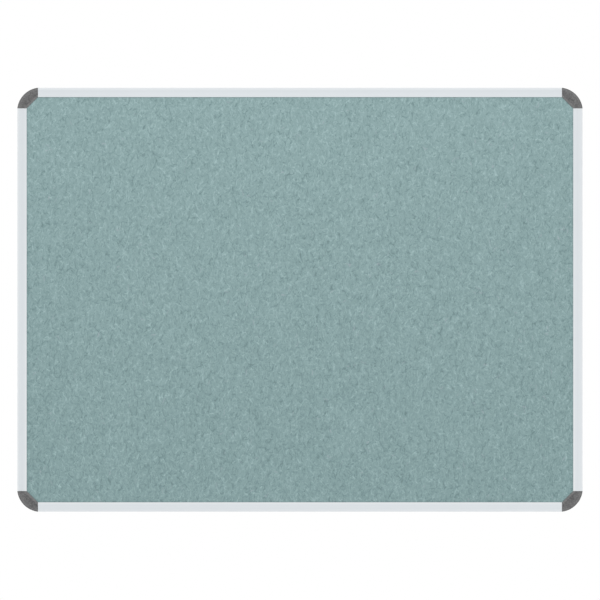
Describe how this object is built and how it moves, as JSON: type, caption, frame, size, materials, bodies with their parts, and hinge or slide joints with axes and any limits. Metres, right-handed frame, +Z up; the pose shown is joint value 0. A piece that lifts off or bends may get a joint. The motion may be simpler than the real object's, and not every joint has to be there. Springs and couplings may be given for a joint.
{
  "type": "wall-hung felt notice board",
  "caption": "Wall-hung felt notice board in a slim aluminium frame with rounded grey push-on corner caps over hidden corner connectors.",
  "frame": {"origin": "middle of the board, on the plane of the wall that it hangs on", "axes": "+X to the right along the board's length, +Z up, +Y into the wall; the felt faces -Y"},
  "size_m": [1.2002, 0.0188, 0.9002],
  "materials": {
    "felt": "matt needle felt, grey-green",
    "fibreboard": "raw soft fibreboard",
    "backing": "grey card",
    "aluminium": "silver anodised, satin",
    "connector_plastic": "fine moulded grain, dark grey",
    "cap_plastic": "fine moulded grain, mid grey",
    "zinc": "zinc plated"
  },
  "bodies": {
    "board": {"felt_cover": "felt", "core_board": "fibreboard", "backing_sheet": "backing", "rail_bottom": "aluminium", "rail_top": "aluminium", "rail_left": "aluminium", "rail_right": "aluminium", "corner_connector_bottom_left": "connector_plastic", "corner_connector_bottom_right": "connector_plastic", "corner_connector_top_right": "connector_plastic", "corner_connector_top_left": "connector_plastic", "screw_bottom_rail_left": "zinc", "screw_bottom_rail_right": "zinc", "screw_top_rail_left": "zinc", "screw_top_rail_right": "zinc", "screw_left_rail_bottom": "zinc", "screw_left_rail_top": "zinc", "screw_right_rail_bottom": "zinc", "screw_right_rail_top": "zinc"},
    "cap_bottom_left": {"corner_cap_bottom_left": "cap_plastic"},
    "cap_bottom_right": {"corner_cap_bottom_right": "cap_plastic"},
    "cap_top_right": {"corner_cap_top_right": "cap_plastic"},
    "cap_top_left": {"corner_cap_top_left": "cap_plastic"}
  },
  "joints": [
    {"name": "pull_cap_bottom_left", "type": "slide", "parent": "board", "child": "cap_bottom_left", "axis": [0, -1, 0], "range_m": [0, 0.03]},
    {"name": "pull_cap_bottom_right", "type": "slide", "parent": "board", "child": "cap_bottom_right", "axis": [0, -1, 0], "range_m": [0, 0.03]},
    {"name": "pull_cap_top_right", "type": "slide", "parent": "board", "child": "cap_top_right", "axis": [0, -1, 0], "range_m": [0, 0.03]},
    {"name": "pull_cap_top_left", "type": "slide", "parent": "board", "child": "cap_top_left", "axis": [0, -1, 0], "range_m": [0, 0.03]}
  ]
}
